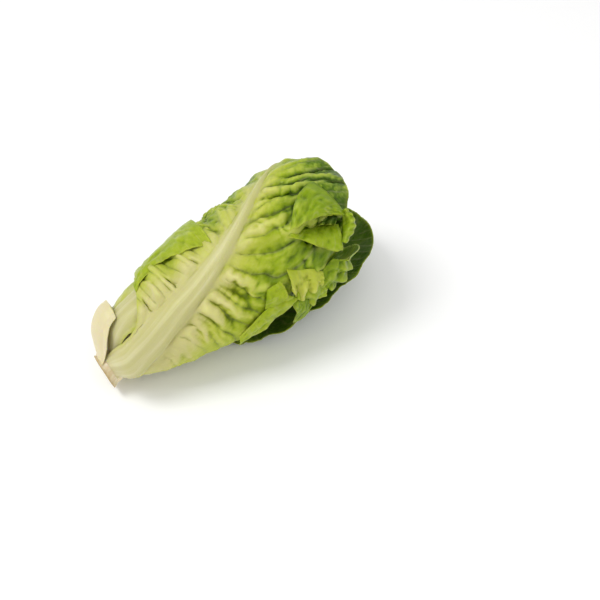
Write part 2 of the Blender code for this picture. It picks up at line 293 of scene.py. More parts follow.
# Its greens run dark from low down: partly the outermost leaf's own deeper green, partly painted shade for
# its inner face in the mouth.
LEAF_UNDER = Leaf(
    "leaf_under", 186, 7, 14.6, 110, 46.5, 198, 27, length=200, tip_curl=1.15,
    base_half=(9, 13.5), half=(45, 58), widest=(0.58, 0.55), wing_from=(0.2, 0),
    rib_half=(12.5, 1), rib_thickness=(7, 0.5), pucker=0.4, pleat=(1.6, 1.6), crumple=1.1, blister=0.7,
    ruffle=(1.2, 0.8), flare=(2, 1), lift=(-2, 1), phase=2.1,
    rows=220, blade_columns=48, seed=11, greening=(-0.1, 0.55), rib_fade=1,
)
TOP_RIDGES = (
    # The dip in the left blade, the deep crease's lip and the pleat in front of the hood.
    Ridge(135, -40, 0, 35, 22, -4),
    Ridge(91.5, 23, 90, 15, 3.2, 5, lean=-2.6),
    Ridge(125, 23, 68, 14, 7, 3.2, lean=-2.2),
    # Folds across the right blade, from the crease down to the stem.
    Ridge(85, 28, 98, 11, 2.4, -3, bow=-0.015),
    Ridge(78.5, 23, 93, 12, 2.4, 2.6, lean=-1.2, bow=-0.02),
    Ridge(73, 24, 95, 11, 1.8, -2.2, bow=-0.02),
    Ridge(68, 22, 95, 11, 2.2, 2, lean=-1, bow=-0.02),
    Ridge(59, 20, 96, 9, 1.9, 2, lean=-0.8, bow=-0.02),
    Ridge(108, 30, 80, 16, 5, -2),
    # Creases in the hood, and the hollows under the flap and under the side lobes.
    Ridge(143.5, 18, 71, 13, 2.2, -4),
    Ridge(153, 20, 74, 13, 2, -3.4),
    Ridge(132, 50, 52, 12, 5, -8),
    Ridge(137, 30.5, 20, 10, 2.4, -3.4),
    Ridge(104, 60, 90, 14, 11, -4),
    Ridge(160, 24, 78, 14, 1.8, -3),
    Ridge(166, 34, 60, 12, 1.6, -2.6),
    Ridge(148, 17, 70, 12, 3, 2.6, lean=-1.2),
    Ridge(157, 40, 84, 12, 1.8, -2.6),
    # Short folds across the left blade, next to the rib.
    Ridge(44, -13, 92, 8, 1, -2.8),
    Ridge(65, -13, 92, 8, 1, -2.6),
    Ridge(54, -20, 90, 9, 2, 2.4),
    Ridge(84, -17, 88, 9, 1.2, -2.2),
)
TOP_LOBES = (
    # The band turned over along the left margin.
    Lobe((
        ((48, -37, 0), (62, -45, 0.5), (80, -50, 0.8), (98, -51, 1), (109, -50, 1.5),
         (116, -35, 3)),
        ((44, -28, 0.4), (55, -31, 1.5), (70, -31.5, 1.8), (84, -22, 1.8), (94, -15, 1.5),
         (101, -9.5, 1.2)),
    ), bow=0.9, ruffle=0.7, ruffles=2, greens=(0.62, 0.52), crumple=0.55, rows=26, columns=90),
    # The flap turned over in front of the hood.
    Lobe((
        ((153, 35, 1), (148.5, 45.5, 1.5), (144, 54.5, 1.5), (141.5, 59.5, 0.5)),
        ((144.5, 31, 4.5), (143, 40.5, 5), (141, 50, 4.5), (140.5, 57.5, 2.5)),
        ((134, 30, 8.5), (135.5, 38, 8), (137.5, 46.5, 6.5), (140, 56.5, 3.5)),
        ((123, 31.5, 11.5), (129.5, 38.5, 10), (135, 46, 7.5), (140, 55.5, 4)),
    ), ruffle=0.5, ruffles=2, greens=(0.78, 0.66), crumple=1.3, rows=40, columns=60),
    # The tongue that hangs from the flap.
    Lobe((
        ((126, 33.5, -3), (130.5, 41.5, -6), (134, 49.5, -6), (136, 58.5, -3)),
        ((120.5, 31.5, 5), (122, 41, 5), (123, 54, 4.5), (125.5, 66, 2.5)),
    ), bow=2, ruffle=0.7, greens=(0.75, 0.6), crumple=0.9),
    # The fold under the flap, in the darkest greens: painted shade of the hollow under the flap.
    Lobe((
        ((136, 40, -7), (139, 48, -7), (141, 56, -6)),
        ((129, 39, -2), (132, 47, -1.5), (135, 56, -1.5)),
    ), ruffle=1.6, ruffles=4, crumple=1.4, greens=(1.1, 0.9), rows=20, columns=80),
    # The crinkled strip at the right end of the flap.
    Lobe((
        ((142.5, 56, 1), (138.5, 60, -2), (134, 62, -2), (129, 62.5, 0)),
        ((144.5, 58.5, 2.5), (142, 64, 2), (137, 67.5, 2), (129.5, 66, 2)),
    ), bow=2.5, ruffle=0.9, ruffles=5.5, greens=(0.7, 0.72), crumple=1.7, rows=20, columns=90),
    # The upper lobe of the right margin.
    Lobe((
        ((107, 39.5, 0), (109.5, 47.5, -1), (112.5, 55, -2), (113.5, 64.5, -3)),
        ((100, 48.5, 2.2), (98.5, 59.5, 1), (103.5, 62.5, 1), (107.5, 69, -0.5)),
    ), bow=1.6, ruffle=1.5, ruffles=3, greens=(0.42, 0.3), crumple=1.6, rows=40, columns=66),
    # The middle lobe of the right margin.
    Lobe((
        ((103, 50, 0), (108, 56.5, 0), (109.5, 65, -1), (109, 73.5, -3)),
        ((98, 56.5, 0), (98.5, 66.5, -0.7), (99.5, 76, -1.2), (104.5, 80.5, -3)),
    ), bow=0.9, ruffle=1.2, ruffles=2, phase=1.5, greens=(0.65, 0.6), crumple=1.1),
    # The lower lobe of the right margin.
    Lobe((
        ((98.5, 56, -2), (99, 63, -1), (100.5, 67.5, -1), (101, 73, -2)),
        ((94.5, 57.5, 0), (91.5, 68, 0), (86, 83, -3), (99, 73, -1)),
    ), bow=1.3, ruffles=1.5, greens=(0.8, 0.75), crumple=1),
    # The lobe at the mouth.
    Lobe((
        ((108, 67, -3), (112, 65, -4), (116, 65, -5), (120, 68, -6)),
        ((108, 81, -4), (113, 86, -4), (118.5, 88, -6), (123, 84, -8)),
    ), bow=2, ruffle=2, ruffles=3, phase=0.8, greens=(0.78, 0.7), crumple=1.5, columns=66),
    # The flat border turned up below the side lobes.
    Lobe((
        ((97, 47, 1), (86, 42, 2), (77, 41, 2), (68, 41.5, 0.8)),
        ((99, 57, 0.5), (87, 54.5, 0.6), (76, 52.5, 0.4), (65, 48.5, 0)),
    ), bow=0.8, ruffle=0.5, ruffles=2, crumple=1, rows=26),
    # The triangular fold beside the deep crease.
    Lobe((
        ((94, 35, 1.5), (90, 38, 2), (86, 41.5, 1.5)),
        ((101, 38.5, 3.5), (99.5, 44, 4), (96.5, 49.5, 2.5)),
    ), bow=0.8, ruffle=0.4, ruffles=1.5, greens=(0.62, 0.6), crumple=0.8, rows=24, columns=36),
)
LEAF_TOP = Leaf(
    "leaf_top", 36, 7.5, 14.6, 152, 47, 196, 24, length=184, tip_curl=1.15, rise_power=0.6,
    base_half=(11, 13), half=(54, 64), widest=(0.37, 0.72), wing_from=(0.12, 0.09), rib_shift=6,
    rib_edge=7, soft_side=2.5, ruffle_from=0.35, rise_sharpness=(1.3, 0.5), tip_half=(0.62, 0.75),
    tip_sag=0.1, swerve=-53, swerve_from=0.13, swerve_power=1, rib_half=(14.5, 1), rib_thickness=(7.5, 1),
    pucker=1.3, ruffle=(1, 2.4), ruffle_pitch=24, lift=(0, -2), phase=0.4,
    ridges=TOP_RIDGES, lobes=TOP_LOBES,
    notches=(Notch(1, 0.5, 5, 0.12),),
    rows=240, blade_columns=49, seed=23, pleat=(1.3, 1.7), pleat_pitch=(6.4, 8),
    crumple=1.1, blister=0.5, greening=(0.06, 1.14),
)
LEAF_BACK = Leaf(
    "leaf_back", -90, 10, 13.4, 118, 39.25, 180, 25, rise_power=0.55,
    base_half=(12, 7), half=(52, 46), wing_from=(0, 0.22), lift=(-3, 0),
    rib_half=(11.5, 2), rib_thickness=(7, 1), phase=0.2,
    rows=200, blade_columns=46, seed=37,
)
# Its greening starts well below its base, so it is greener and darker than the others: partly its own duller
# green, partly painted shade for this side, which faces away from the light.
LEAF_LEFT = Leaf(
    "leaf_left", -6, 12, 12.5, 116, 36.5, 178, 23, rise_power=0.47,
    base_half=(15, 11), half=(50, 50), wing_from=(0, 0.06), rib_half=(14, 1.8),
    rib_thickness=(5, 1), rib_outward=0.4, phase=1.3,
    rows=180, seed=41, greening=(-0.5, 0.85),
)
LEAF_STUB = Leaf(
    "leaf_stub", -34, 4.5, 14.6, 22, 29.3, 34, 29.5, length=27, tip_curl=1.15, rise_power=0.85,
    base_half=(9, 13), half=(13, 18), tip_half=(0.9, 0.9), tip_sag=0.05,
    rib_half=(10, 13), rib_thickness=(5.6, 5.4), pucker=0, ruffle=(0, 0),
    rows=90, rib_columns=40, blade_columns=6, seed=53, bleached=0.75, pleat=(0, 0), crumple=0,
    blister=0, greening=(0.9, 3),
)


def inner_leaf(age):
    """A leaf of the inner head. Each next one stands further round, higher up the stem, and is smaller."""
    def aged(measure):
        return measure[0] + measure[1] * age

    base_x, radius = aged(INNER_BASE_X), aged(INNER_RADIUS)
    flares = age == INNER_AGES[0]
    return Leaf(
        f"leaf_inner_{age}", LEAF_BACK.azimuth - GOLDEN_ANGLE * age, base_x,
        stem_radius(base_x) + INNER_GAP_TO_STEM, aged(INNER_BULGE_X), radius, aged(INNER_TIP_X),
        INNER_TIP_SHARE * radius,
        base_half=(aged(INNER_BASE_HALF),) * 2, half=(aged(INNER_HALF),) * 2,
        rib_half=(aged(INNER_RIB_HALF), 1.4), rib_thickness=(aged(INNER_RIB_THICKNESS), 0.7),
        rib_fade=0.9 if flares else 0.25, rib_outward=0.6, pucker=0.35, phase=1.7 * age,
        flare=(9, 3) if flares else (0, 0), flare_from=0.65,
        ruffle=(2, 1) if flares else (0.7, 0.7),
        rows=170 - 8 * age, rib_columns=12, blade_columns=34 - 2 * age, seed=60 + age,
        pleat=(0.75, 0.75), pleat_pitch=(6, 6), blister=0.5, blister_size=4.5,
        greening=(-0.5, 0.75) if flares else (0.2, 1.15), slot="inner_leaf",
    )


# Plain mathematics.
def smooth_step(value):
    """0 below 0, 1 above 1, and a smooth rise between them."""
    clipped = np.clip(value, 0, 1)
    return clipped * clipped * (3 - 2 * clipped)


def over(value, stretch):
    """0 before a stretch, 1 behind it, and a smooth rise along it."""
    return smooth_step((value - stretch[0]) / stretch[1])


def hashed(i, j, seed):
    """A number from 0 to 1 for each whole-numbered place."""
    mask = 0xFFFFFFFF
    i, j = np.asarray(i, np.int64), np.asarray(j, np.int64)
    mixed = (i * 374761393 + j * 668265263 + seed * 974634787) & mask
    mixed = ((mixed ^ (mixed >> 13)) * 1274126177) & mask
    return ((mixed ^ (mixed >> 16)) & mask) / mask


def noise(u, v, seed):
    """Smooth noise from -1 to 1 with one swell for each unit of u and v."""
    i, j = np.floor(u), np.floor(v)
    s, t = smooth_step(u - i), smooth_step(v - j)
    near = hashed(i, j, seed) * (1 - s) + hashed(i + 1, j, seed) * s
    far = hashed(i, j + 1, seed) * (1 - s) + hashed(i + 1, j + 1, seed) * s
    return 2 * (near * (1 - t) + far * t) - 1


def cells(u, v, seed):
    """Irregular cells of about one unit: how far inside its cell each place is, and a number for the cell."""
    i, j = np.floor(u), np.floor(v)
    first, second = np.full(np.shape(u), 9), np.full(np.shape(u), 9)
    owner = np.zeros(np.shape(u))
    for di in (-1, 0, 1):
        for dj in (-1, 0, 1):
            x = i + di + 0.15 + 0.7 * hashed(i + di, j + dj, seed)
            y = j + dj + 0.15 + 0.7 * hashed(i + di, j + dj, seed + 1)
            distance = np.hypot(u - x, v - y)
            second = np.minimum(second, np.maximum(first, distance))
            owner = np.where(distance < first, hashed(i + di, j + dj, seed + 2), owner)
            first = np.minimum(first, distance)
    return second - first, owner


# The form of the head and of its leaves, as in the solids.
def stem_radius(x):
    """The stem's radius: flared at the cut, straight, then tapering to the growing tip."""
    flare = (STEM_CUT_RADIUS - STEM_NECK_RADIUS) * (1 - smooth_step(x / STEM_NECK_X))
    share = np.clip((x - STEM_TAPER_X) / (STEM_LENGTH - STEM_TAPER_X), 0, 1)
    return STEM_NECK_RADIUS + flare + (STEM_TIP_RADIUS - STEM_NECK_RADIUS) * share


def leaf_profile(leaf):
    """The leaf's middle line in the plane through the stem: arc length, x and radius."""
    share = np.linspace(0, 1, PROFILE_STEPS)
    rise_x = leaf.base_x + (leaf.bulge_x - leaf.base_x) * share
    rise = np.sin(math.pi / 2 * share**leaf.rise_power)
    rise_r = leaf.base_radius + (leaf.bulge_radius - leaf.base_radius) * rise
    turn = math.pi / 2 * leaf.tip_curl * share[1:]
    fall_x = leaf.bulge_x + (leaf.tip_x - leaf.bulge_x) * np.sin(turn)
    fall_r = leaf.bulge_radius - (leaf.bulge_radius - leaf.tip_radius) * (1 - np.cos(turn))
    x = np.concatenate([rise_x, fall_x])
    radius = np.concatenate([rise_r, fall_r])
    arc = np.concatenate([[0], np.cumsum(np.hypot(np.diff(x), np.diff(radius)))])
    return arc, x, radius


def leaf_length(leaf):
    """The leaf's length along its middle rib: its own, or else its whole profile."""
    return leaf.length or leaf_profile(leaf)[0][-1]


def half_width(leaf, share, side):
    """Distance from the leaf's middle rib to its left (0) or right (1) margin, at a share of its length."""
    base, most, widest = leaf.base_half[side], leaf.half[side], leaf.widest[side]
    wing = smooth_step((share - leaf.wing_from[side]) / (widest - leaf.wing_from[side]))
    rise = base + (most - base) * wing ** leaf.rise_sharpness[side]
    beyond = np.clip((share - widest) / (1 - widest), 0, 1)
    width = np.where(share < widest, rise, most * (1 - (1 - leaf.tip_half[side]) * beyond**2))
    for notch in leaf.notches:
        if notch.side == side:
            width = width - notch.depth * np.exp(-(((share - notch.share) / notch.spread) ** 2))
    along = share * leaf_length(leaf)
    row = 0 * along + side
    edge = noise(along / 9, row, leaf.seed) + 0.5 * noise(along / 3.2, row, leaf.seed + 5)
    edge += 0.3 * np.abs(noise(along / 1.3, row, leaf.seed + 9))
    return width + leaf.ragged * edge * smooth_step(share / 0.2 - 0.2)


def rib_width(leaf, share, half):
    """Half the width of the middle rib."""
    rib = leaf.rib_half[0] + (leaf.rib_half[1] - leaf.rib_half[0]) * share**RIB_NARROWING
    return np.minimum(rib, RIB_SHARE_OF_LEAF * half)


def flat_leaf(leaf):
    """The leaf laid flat on a fine grid: what its later steps ask of each place."""
    share = np.linspace(0, 1, leaf.rows + 1)[:, None]
    count = 2 * leaf.blade_columns + leaf.rib_columns
    column = np.linspace(-1, 1, count + 1)[None, :]
    rib_part = leaf.rib_columns / count
    half = np.where(column < 0, half_width(leaf, share, 0), half_width(leaf, share, 1))
    rib = rib_width(leaf, share, half)
    in_rib = np.abs(column) <= rib_part + 1e-9
    blade_share = np.clip((np.abs(column) - rib_part) / (1 - rib_part), 0, 1)
    across = np.where(in_rib, column / rib_part * rib, np.sign(column) * (rib + blade_share * (half - rib)))
    margin = np.abs(across) / half
    length = leaf_length(leaf)
    return SimpleNamespace(
        share=share + 0 * column,
        along=length * (share - leaf.tip_sag * margin**2 * share**2),
        across=across,
        blade_share=blade_share + 0 * share,
        rib_share=np.clip(np.abs(across) / rib, 0, 1),
        room=smooth_step((half - rib) / BLADE_ROOM),
        from_rib=np.maximum(np.abs(across) - rib, 0),
        from_margin=np.minimum(half - np.abs(across), length * (1 - share) + 0 * half),
        side=np.where(across < 0, 0, 1),
    )


def broad_waves(leaf, flat):
    """How far the blade stands out of the leaf's smooth form, as in the solids."""
    share, along, across, side = flat.share, flat.along, flat.across, flat.side
    blade_share = flat.blade_share
    envelope = np.sin(math.pi * blade_share**0.6) * smooth_step(share / 0.12)
    swept = along - leaf.pucker_sweep * np.abs(across)
    wave = np.cos(2 * math.pi * swept / leaf.pucker_pitch + leaf.phase + 2.3 * side)
    wave += 0.5 * np.cos(2 * math.pi * swept / (1.7 * leaf.pucker_pitch) + 2 * leaf.phase + side)
    height = leaf.pucker * envelope * wave
    edge = blade_share**3 * smooth_step((share - leaf.ruffle_from) / 0.3)
    ruffle = np.cos(2 * math.pi * along / leaf.ruffle_pitch + 3 * leaf.phase + 1.9 * side)
    height += np.where(across < 0, *leaf.ruffle) * edge * ruffle
    flaring = smooth_step((share - leaf.flare_from) / (1 - leaf.flare_from))
    height += np.where(across < 0, *leaf.flare) * blade_share**2 * flaring
    height += np.where(across < 0, *leaf.lift) * blade_share * smooth_step(share / 0.25)
    return height


def vein_course(leaf, flat):
    """Where on the rib, along the leaf, the side vein through each place starts."""
    along, from_rib = flat.along, flat.from_rib
    start, end = leaf.vein_sweep
    sweep = start + (end - start) * over(flat.share, VEIN_SWEEP_STRETCH)
    course = along - sweep * from_rib + VEIN_BEND * from_rib**2
    for reach, swell_along, swell_across, seed in VEIN_WANDERS:
        row = from_rib / swell_across + 40 * flat.side
        course = course + reach * noise(along / swell_along, row, leaf.seed + seed)
    return course


def pleats(leaf, flat, course):
    """The pleats between the side veins: their height, and the strength of the veins."""
    share, along, from_rib, side = flat.share, flat.along, flat.from_rib, flat.side
    pitch = np.where(side == 0, *leaf.pleat_pitch)
    cell = np.floor(course / pitch)
    within = course / pitch - cell
    vein = np.exp(-((np.minimum(within, 1 - within) * pitch / VEIN_HALF) ** 2))
    swell = np.clip(np.sin(math.pi * within), 1e-6, 1) ** PLEAT_ROUNDING
    strength = PLEAT_STRENGTH[0] + PLEAT_STRENGTH[1] * hashed(cell, side, leaf.seed + 21)
    strength = strength * smooth_step(from_rib / PLEAT_FROM_RIB)
    strength = strength * (1 - PLEAT_FAR_LOSS * over(from_rib, PLEAT_FAR_MM))
    patch_along, patch_across = PLEAT_PATCH_SIZE
    patchy = noise(along / patch_along + 7, from_rib / patch_across, leaf.seed + 22)
    patchy = PLEAT_PATCHES[0] + PLEAT_PATCHES[1] * patchy
    patchy = patchy * (1 - PLEAT_HOOD_LOSS * over(share, HOOD_STRETCH))
    low = PLEAT_LOW_SHARE + (1 - PLEAT_LOW_SHARE) * over(share, PLEAT_LOW_STRETCH)
    patchy = patchy * np.where(side == 1, low, 1)
    return np.where(side == 0, *leaf.pleat) * strength * patchy * (swell - PLEAT_LEVEL), vein


def crumples(leaf, flat, course):
    """The height of the creases that are drawn out along the veins. They are lower on the left blade."""
    share, from_rib, side = flat.share, flat.from_rib, flat.side
    crumple = 0 * course
    for part, depth, swell_along, swell_across, seed in CRUMPLE_CREASES:
        crease = np.abs(noise(course / swell_along, from_rib / swell_across + 60 * side, leaf.seed + seed))
        crumple += part * (1 - depth * crease)
    crumple = leaf.crumple * np.sign(crumple) * np.abs(crumple) ** CRUMPLE_POWER
    crumple = crumple * (1 - CRUMPLE_HOOD_LOSS * over(share, CRUMPLE_HOOD_STRETCH))
    crumple = crumple * np.where(side == 0, CRUMPLE_LEFT_SHARE, 1)
    return crumple * smooth_step(from_rib / CRUMPLE_FROM_RIB) * smooth_step(share / CRUMPLE_FROM_BASE)


def blisters(leaf, flat, course):
    """The blisters between the small veins: their height, and how far inside its blister each place is.

    They are lower on the left blade and higher in the hood on the right.
    """
    share, from_rib, side = flat.share, flat.from_rib, flat.side
    (wide, narrow), (small_wide, small_narrow) = BLISTER_LARGE, BLISTER_SMALL
    size = leaf.blister_size
    inside, owner = cells(course / (wide * size), from_rib / (narrow * size) + 50 * side, leaf.seed + 23)
    small_row = from_rib / (small_narrow * size) + 90 * side
    small_inside, _ = cells(course / (small_wide * size), small_row, leaf.seed + 27)
    pillow = smooth_step(inside / BLISTER_SHOULDERS[0]) * (owner - BLISTER_DIP)
    pillow = pillow + BLISTER_SMALL_SHARE * smooth_step(small_inside / BLISTER_SHOULDERS[1])
    pillow = pillow * np.where(side == 0, BLISTER_LEFT_SHARE, 1 + over(share, HOOD_STRETCH))
    fade = smooth_step(from_rib / BLISTER_FROM_RIB) * smooth_step(share / BLISTER_FROM_BASE)
    return leaf.blister * pillow * fade, inside


def fine_waves(leaf, flat):
    """The leaf's pleats, crumples and blisters together: their height, and the strength of its veins."""
    course = vein_course(leaf, flat)
    pleated, vein = pleats(leaf, flat, course)
    blistered, inside = blisters(leaf, flat, course)
    height = pleated + crumples(leaf, flat, course) + blistered
    veins = VEIN_STRENGTH * vein * smooth_step(flat.from_rib / VEIN_FROM_RIB)
    net = 1 - smooth_step(inside / NET_HALF)
    veins = veins + NET_STRENGTH * net * smooth_step(flat.from_rib / NET_FROM_RIB)
    return height, np.clip(veins, 0, 1)


def raise_ridges(leaf, flat, height):
    """Adds the leaf's ridges, which also shift places on the flat leaf where they lean."""
    along, across = flat.along.copy(), flat.across.copy()
    for ridge in leaf.ridges:
        cosine, sine = math.cos(math.radians(ridge.heading)), math.sin(math.radians(ridge.heading))
        run = (flat.along - ridge.along) * cosine + (flat.across - ridge.across) * sine
        off = (flat.across - ridge.across) * cosine - (flat.along - ridge.along) * sine
        off = off + ridge.bow * run**2
        seed = int(ridge.along)
        wander = noise(run / 6, 0 * run, seed) + 0.5 * noise(run / 2.4, off / 4, seed + 1)
        off = off + RIDGE_WANDER * ridge.spread * wander
        bell = np.exp(-((run / ridge.reach) ** 4) - (off / ridge.spread) ** 2)
        bell = bell * smooth_step(flat.from_rib / RIDGE_FROM_RIB)
        varied = RIDGE_HEIGHTS[0] + RIDGE_HEIGHTS[1] * noise(run / 5, off / 3, seed + 2)
        height = height + ridge.height * bell * varied
        along += ridge.lean * bell * sine
        across -= ridge.lean * bell * cosine
    return along, across, height


def spline(points, share):
    """Places on a smooth line through the points, at shares of its length."""
    points = np.asarray(points, float)
    padded = np.concatenate([[2 * points[0] - points[1]], points, [2 * points[-1] - points[-2]]])
    at = np.clip(share, 0, 1) * (len(points) - 1)
    start = np.minimum(at.astype(int), len(points) - 2)
    t = (at - start).reshape(at.shape + (1,) * (points.ndim - 1))
    a, b, c, d = (padded[start + k] for k in range(4))
    return 0.5 * (2 * b + (c - a) * t + (2 * a - 5 * b + 4 * c - d) * t**2 + (3 * b - a - 3 * c + d) * t**3)


def lobe_shell(leaf, lobe, index):
    """A lobe as a thin closed shell: its points, its faces and its attributes."""
    v, u = np.linspace(0, 1, lobe.rows), np.linspace(0, 1, lobe.columns)
    lines = np.stack([spline(line, u) for line in lobe.lines])
    grid = spline(lines, v)
    v, u = v[:, None] + 0 * u, u + 0 * v[:, None]
    width = np.linalg.norm(np.diff(lines[-1], axis=0), axis=1).sum()
    depth = np.linalg.norm(lines[-1] - lines[0], axis=1).mean()
    seed = leaf.seed + 100 + 7 * index
    ragged = noise(u * width / 3, 0 * u, seed) + 0.6 * noise(u * width / 1.1, 0 * u, seed + 1)
    ragged = lobe.ragged * ragged
    along, across = (grid[..., k] + (grid[..., k] - grid[:1, :, k]) * ragged * v for k in (0, 1))
    crumple = noise(u * width / 5, v * depth / 4, seed + 2)
    crumple = crumple + 0.5 * noise(u * width / 2.2, v * depth / 2, seed + 3)
    standing = lobe.bow * np.sin(math.pi * v)
    standing += lobe.ruffle * v**1.5 * np.sin(2 * math.pi * lobe.ruffles * u + lobe.phase)
    standing += lobe.crumple * crumple * smooth_step(v / 0.3)
    middle = lay_round_head(leaf, along, across, grid[..., 2] + standing)
    normal = grid_normals(middle)
    half = 0.5 * MARGIN_THICKNESS + LOBE_ROOT_EXTRA * (1 - v)
    outer, inner = middle + normal * half[..., None], middle - normal * half[..., None]
    points = np.concatenate([outer.reshape(-1, 3), inner.reshape(-1, 3)])
    greens = lobe.greens[0] + (lobe.greens[1] - lobe.greens[0]) * v + LOBE_MOTTLE * crumple
    fan = np.abs(noise(u * width / LOBE_VEIN_PITCH, v * depth / 25, seed + 4))
    place = np.stack([v * depth + LOBE_PLACE_STEP * index, u * width, 0 * u], axis=-1)
    attributes = {
        "green": greens,
        "rib": 0 * u,
        "vein": LOBE_VEIN_STRENGTH * np.exp(-((fan / LOBE_VEIN_HALF) ** 2)),
        "margin": np.exp(-(1 - v) * depth / LOBE_MARGIN),
        # Creases and crests, from which the material paints shade into creases and a highlight onto crests.
        "shading_relief": shading_relief(standing),
        "bleach": 0 * u,
        "place": place.reshape(-1, 3) * MM,
    }
    return points, facing_out(points, shell_quads(*u.shape)), attributes


def facing_out(points, quads):
    """The faces turned so that the closed shell's volume is positive."""
    a, b, c, d = (points[quads[:, k]] for k in range(4))
    volume = (np.cross(a, b) * c).sum() + (np.cross(a, c) * d).sum()
    return quads if volume > 0 else quads[:, ::-1]


def rib_path(leaf):
    """The middle rib's course round the head: place along it, arc along the profile, azimuth and heading."""
    share = np.linspace(0, 1, PROFILE_STEPS)
    along = share * leaf_length(leaf)
    turned = np.clip((share - leaf.swerve_from) / (1 - leaf.swerve_from), 0, 1)
    heading = np.radians(leaf.swerve * turned**leaf.swerve_power)
    step = along[1] - along[0]
    arc = np.concatenate([[0], np.cumsum(np.cos(heading[1:]) * step)])
    profile_arc, _, profile_radius = leaf_profile(leaf)
    radius = np.interp(arc, profile_arc, profile_radius)
    azimuth = leaf.azimuth + np.degrees(np.cumsum(np.sin(heading) / radius) * step)
    return along, arc, azimuth, heading


def squeeze(x, azimuth):
    """The share of its radius that a point keeps where the surface presses the head flatter."""
    tilt = math.radians(HEAD_TILT)
    below = np.maximum(-np.cos(np.radians(azimuth)), LEAST_DOWNWARD)
    reach = (STEM_AXIS_HEIGHT + x * math.sin(tilt)) / math.cos(tilt) / below
    _, under_x, under_radius = leaf_profile(LEAF_UNDER)
    outermost = np.interp(x, under_x[:PROFILE_STEPS], under_radius[:PROFILE_STEPS])
    return (1 + (outermost / reach) ** SQUEEZE_SHARPNESS) ** (-1 / SQUEEZE_SHARPNESS)


def head_to_world(x, azimuth, radius):
    """World place, in millimetres, of a point given in the head's frame."""
    angle, bend = np.radians(azimuth), math.radians(STEM_OFFSET_AZIMUTH)
    offset = STEM_OFFSET * (1 - smooth_step(x / STEM_OFFSET_END_X))
    side = -radius * np.sin(angle) - offset * math.sin(bend)
    up = radius * np.cos(angle) + offset * math.cos(bend)
    tilt = math.radians(HEAD_TILT)
    world_x = x * math.cos(tilt) - up * math.sin(tilt) + HEAD_SHIFT[0]
    world_z = x * math.sin(tilt) + up * math.cos(tilt) + STEM_AXIS_HEIGHT
    return np.stack([world_x, side + HEAD_SHIFT[1], world_z], axis=-1)


def lay_round_head(leaf, along, across, height):
    """World places of a flat leaf's places, each raised by its height. The base draws in to the stem."""
    path_along, path_arc, path_azimuth, path_heading = rib_path(leaf)
    heading = np.interp(along, path_along, path_heading)
    arc = np.interp(along, path_along, path_arc) - across * np.sin(heading)
    profile_arc, profile_x, profile_radius = leaf_profile(leaf)
    x = np.interp(arc, profile_arc, profile_x)
    base = np.interp(arc, profile_arc, profile_radius)
    gathered = np.sqrt(base**2 + (MARGIN_GATHER * arc / profile_arc[-1]) ** 2)
    shift = leaf.rib_shift * smooth_step(along / RIB_SHIFT_RISE)
    shift = shift * (1 - smooth_step((along - RIB_SHIFT_RISE) / RIB_SHIFT_FALL))
    turned = np.degrees((across + shift) * np.cos(heading) / gathered)
    azimuth = np.interp(along, path_along, path_azimuth) + turned
    grown = smooth_step(along / ROOT_LENGTH)
    x = x - ROOT_BACK * (1 - grown)
    radius = stem_radius(x) + ROOT_DEPTH * 0.5 + (base + height - stem_radius(x) - ROOT_DEPTH * 0.5) * grown
    middle = head_to_world(x, azimuth, radius * squeeze(x, azimuth))
    middle[..., 2] = np.maximum(middle[..., 2] - SURFACE_PRESS, BLADE_THICKNESS / 2)
    return middle


def grid_normals(points):
    """Unit normals of a grid of points, pointing out of the head."""
    normal = np.cross(np.gradient(points, axis=1), np.gradient(points, axis=0))
    return normal / np.maximum(np.linalg.norm(normal, axis=-1, keepdims=True), 1e-9)


def leaf_faces(leaf, flat, middle):
    """The outer and the inner face of a leaf as grids of world places, in millimetres."""
    normal = grid_normals(middle)
    share = flat.share
    rib = leaf.rib_thickness[0] + (leaf.rib_thickness[1] - leaf.rib_thickness[0]) * share**RIB_THINNING
    steepness = np.where(flat.side == 1, 2 + leaf.rib_edge * (1 - smooth_step(share / 0.55)), 1.6)
    rib = rib * (1 - flat.rib_share ** steepness) * smooth_step(flat.along / ROOT_LENGTH + 0.12)
    blade = MARGIN_THICKNESS + (BLADE_THICKNESS - MARGIN_THICKNESS) * smooth_step(flat.from_margin / 5)
    outward = blade / 2 + leaf.rib_outward * rib
    downward = np.maximum(-normal[..., 2], LEAST_DOWNWARD)
    outward = np.minimum(outward, middle[..., 2] / downward)
    outer = middle + normal * outward[..., None]
    inward = blade / 2 + (1 - leaf.rib_outward) * rib
    inner = middle - normal * inward[..., None]
    outer[..., 2] = np.maximum(outer[..., 2], 0)
    return outer, inner


# Meshes and their attributes.
def add_mesh(name, points, quads, attributes, material):
    """One smooth object from world points in millimetres, whose materials read the named attributes."""
    mesh = bpy.data.meshes.new(name)
    mesh.vertices.add(len(points))
    mesh.vertices.foreach_set("co", (points * MM).astype(np.float32).ravel())
    mesh.loops.add(quads.size)
    mesh.loops.foreach_set("vertex_index", quads.astype(np.int32).ravel())
    mesh.polygons.add(len(quads))
    mesh.polygons.foreach_set("loop_start", np.arange(0, quads.size, 4, dtype=np.int32))
    mesh.update(calc_edges=True)
    mesh.validate()
    mesh.shade_smooth()
    for key, values in attributes.items():
        kind, field = ("FLOAT_VECTOR", "vector") if values.ndim == 2 else ("FLOAT", "value")
        mesh.attributes.new(key, kind, "POINT").data.foreach_set(field, values.astype(np.float32).ravel())
    mesh.materials.append(material)
    piece = bpy.data.objects.new(name, mesh)
    bpy.context.scene.collection.objects.link(piece)
    return piece


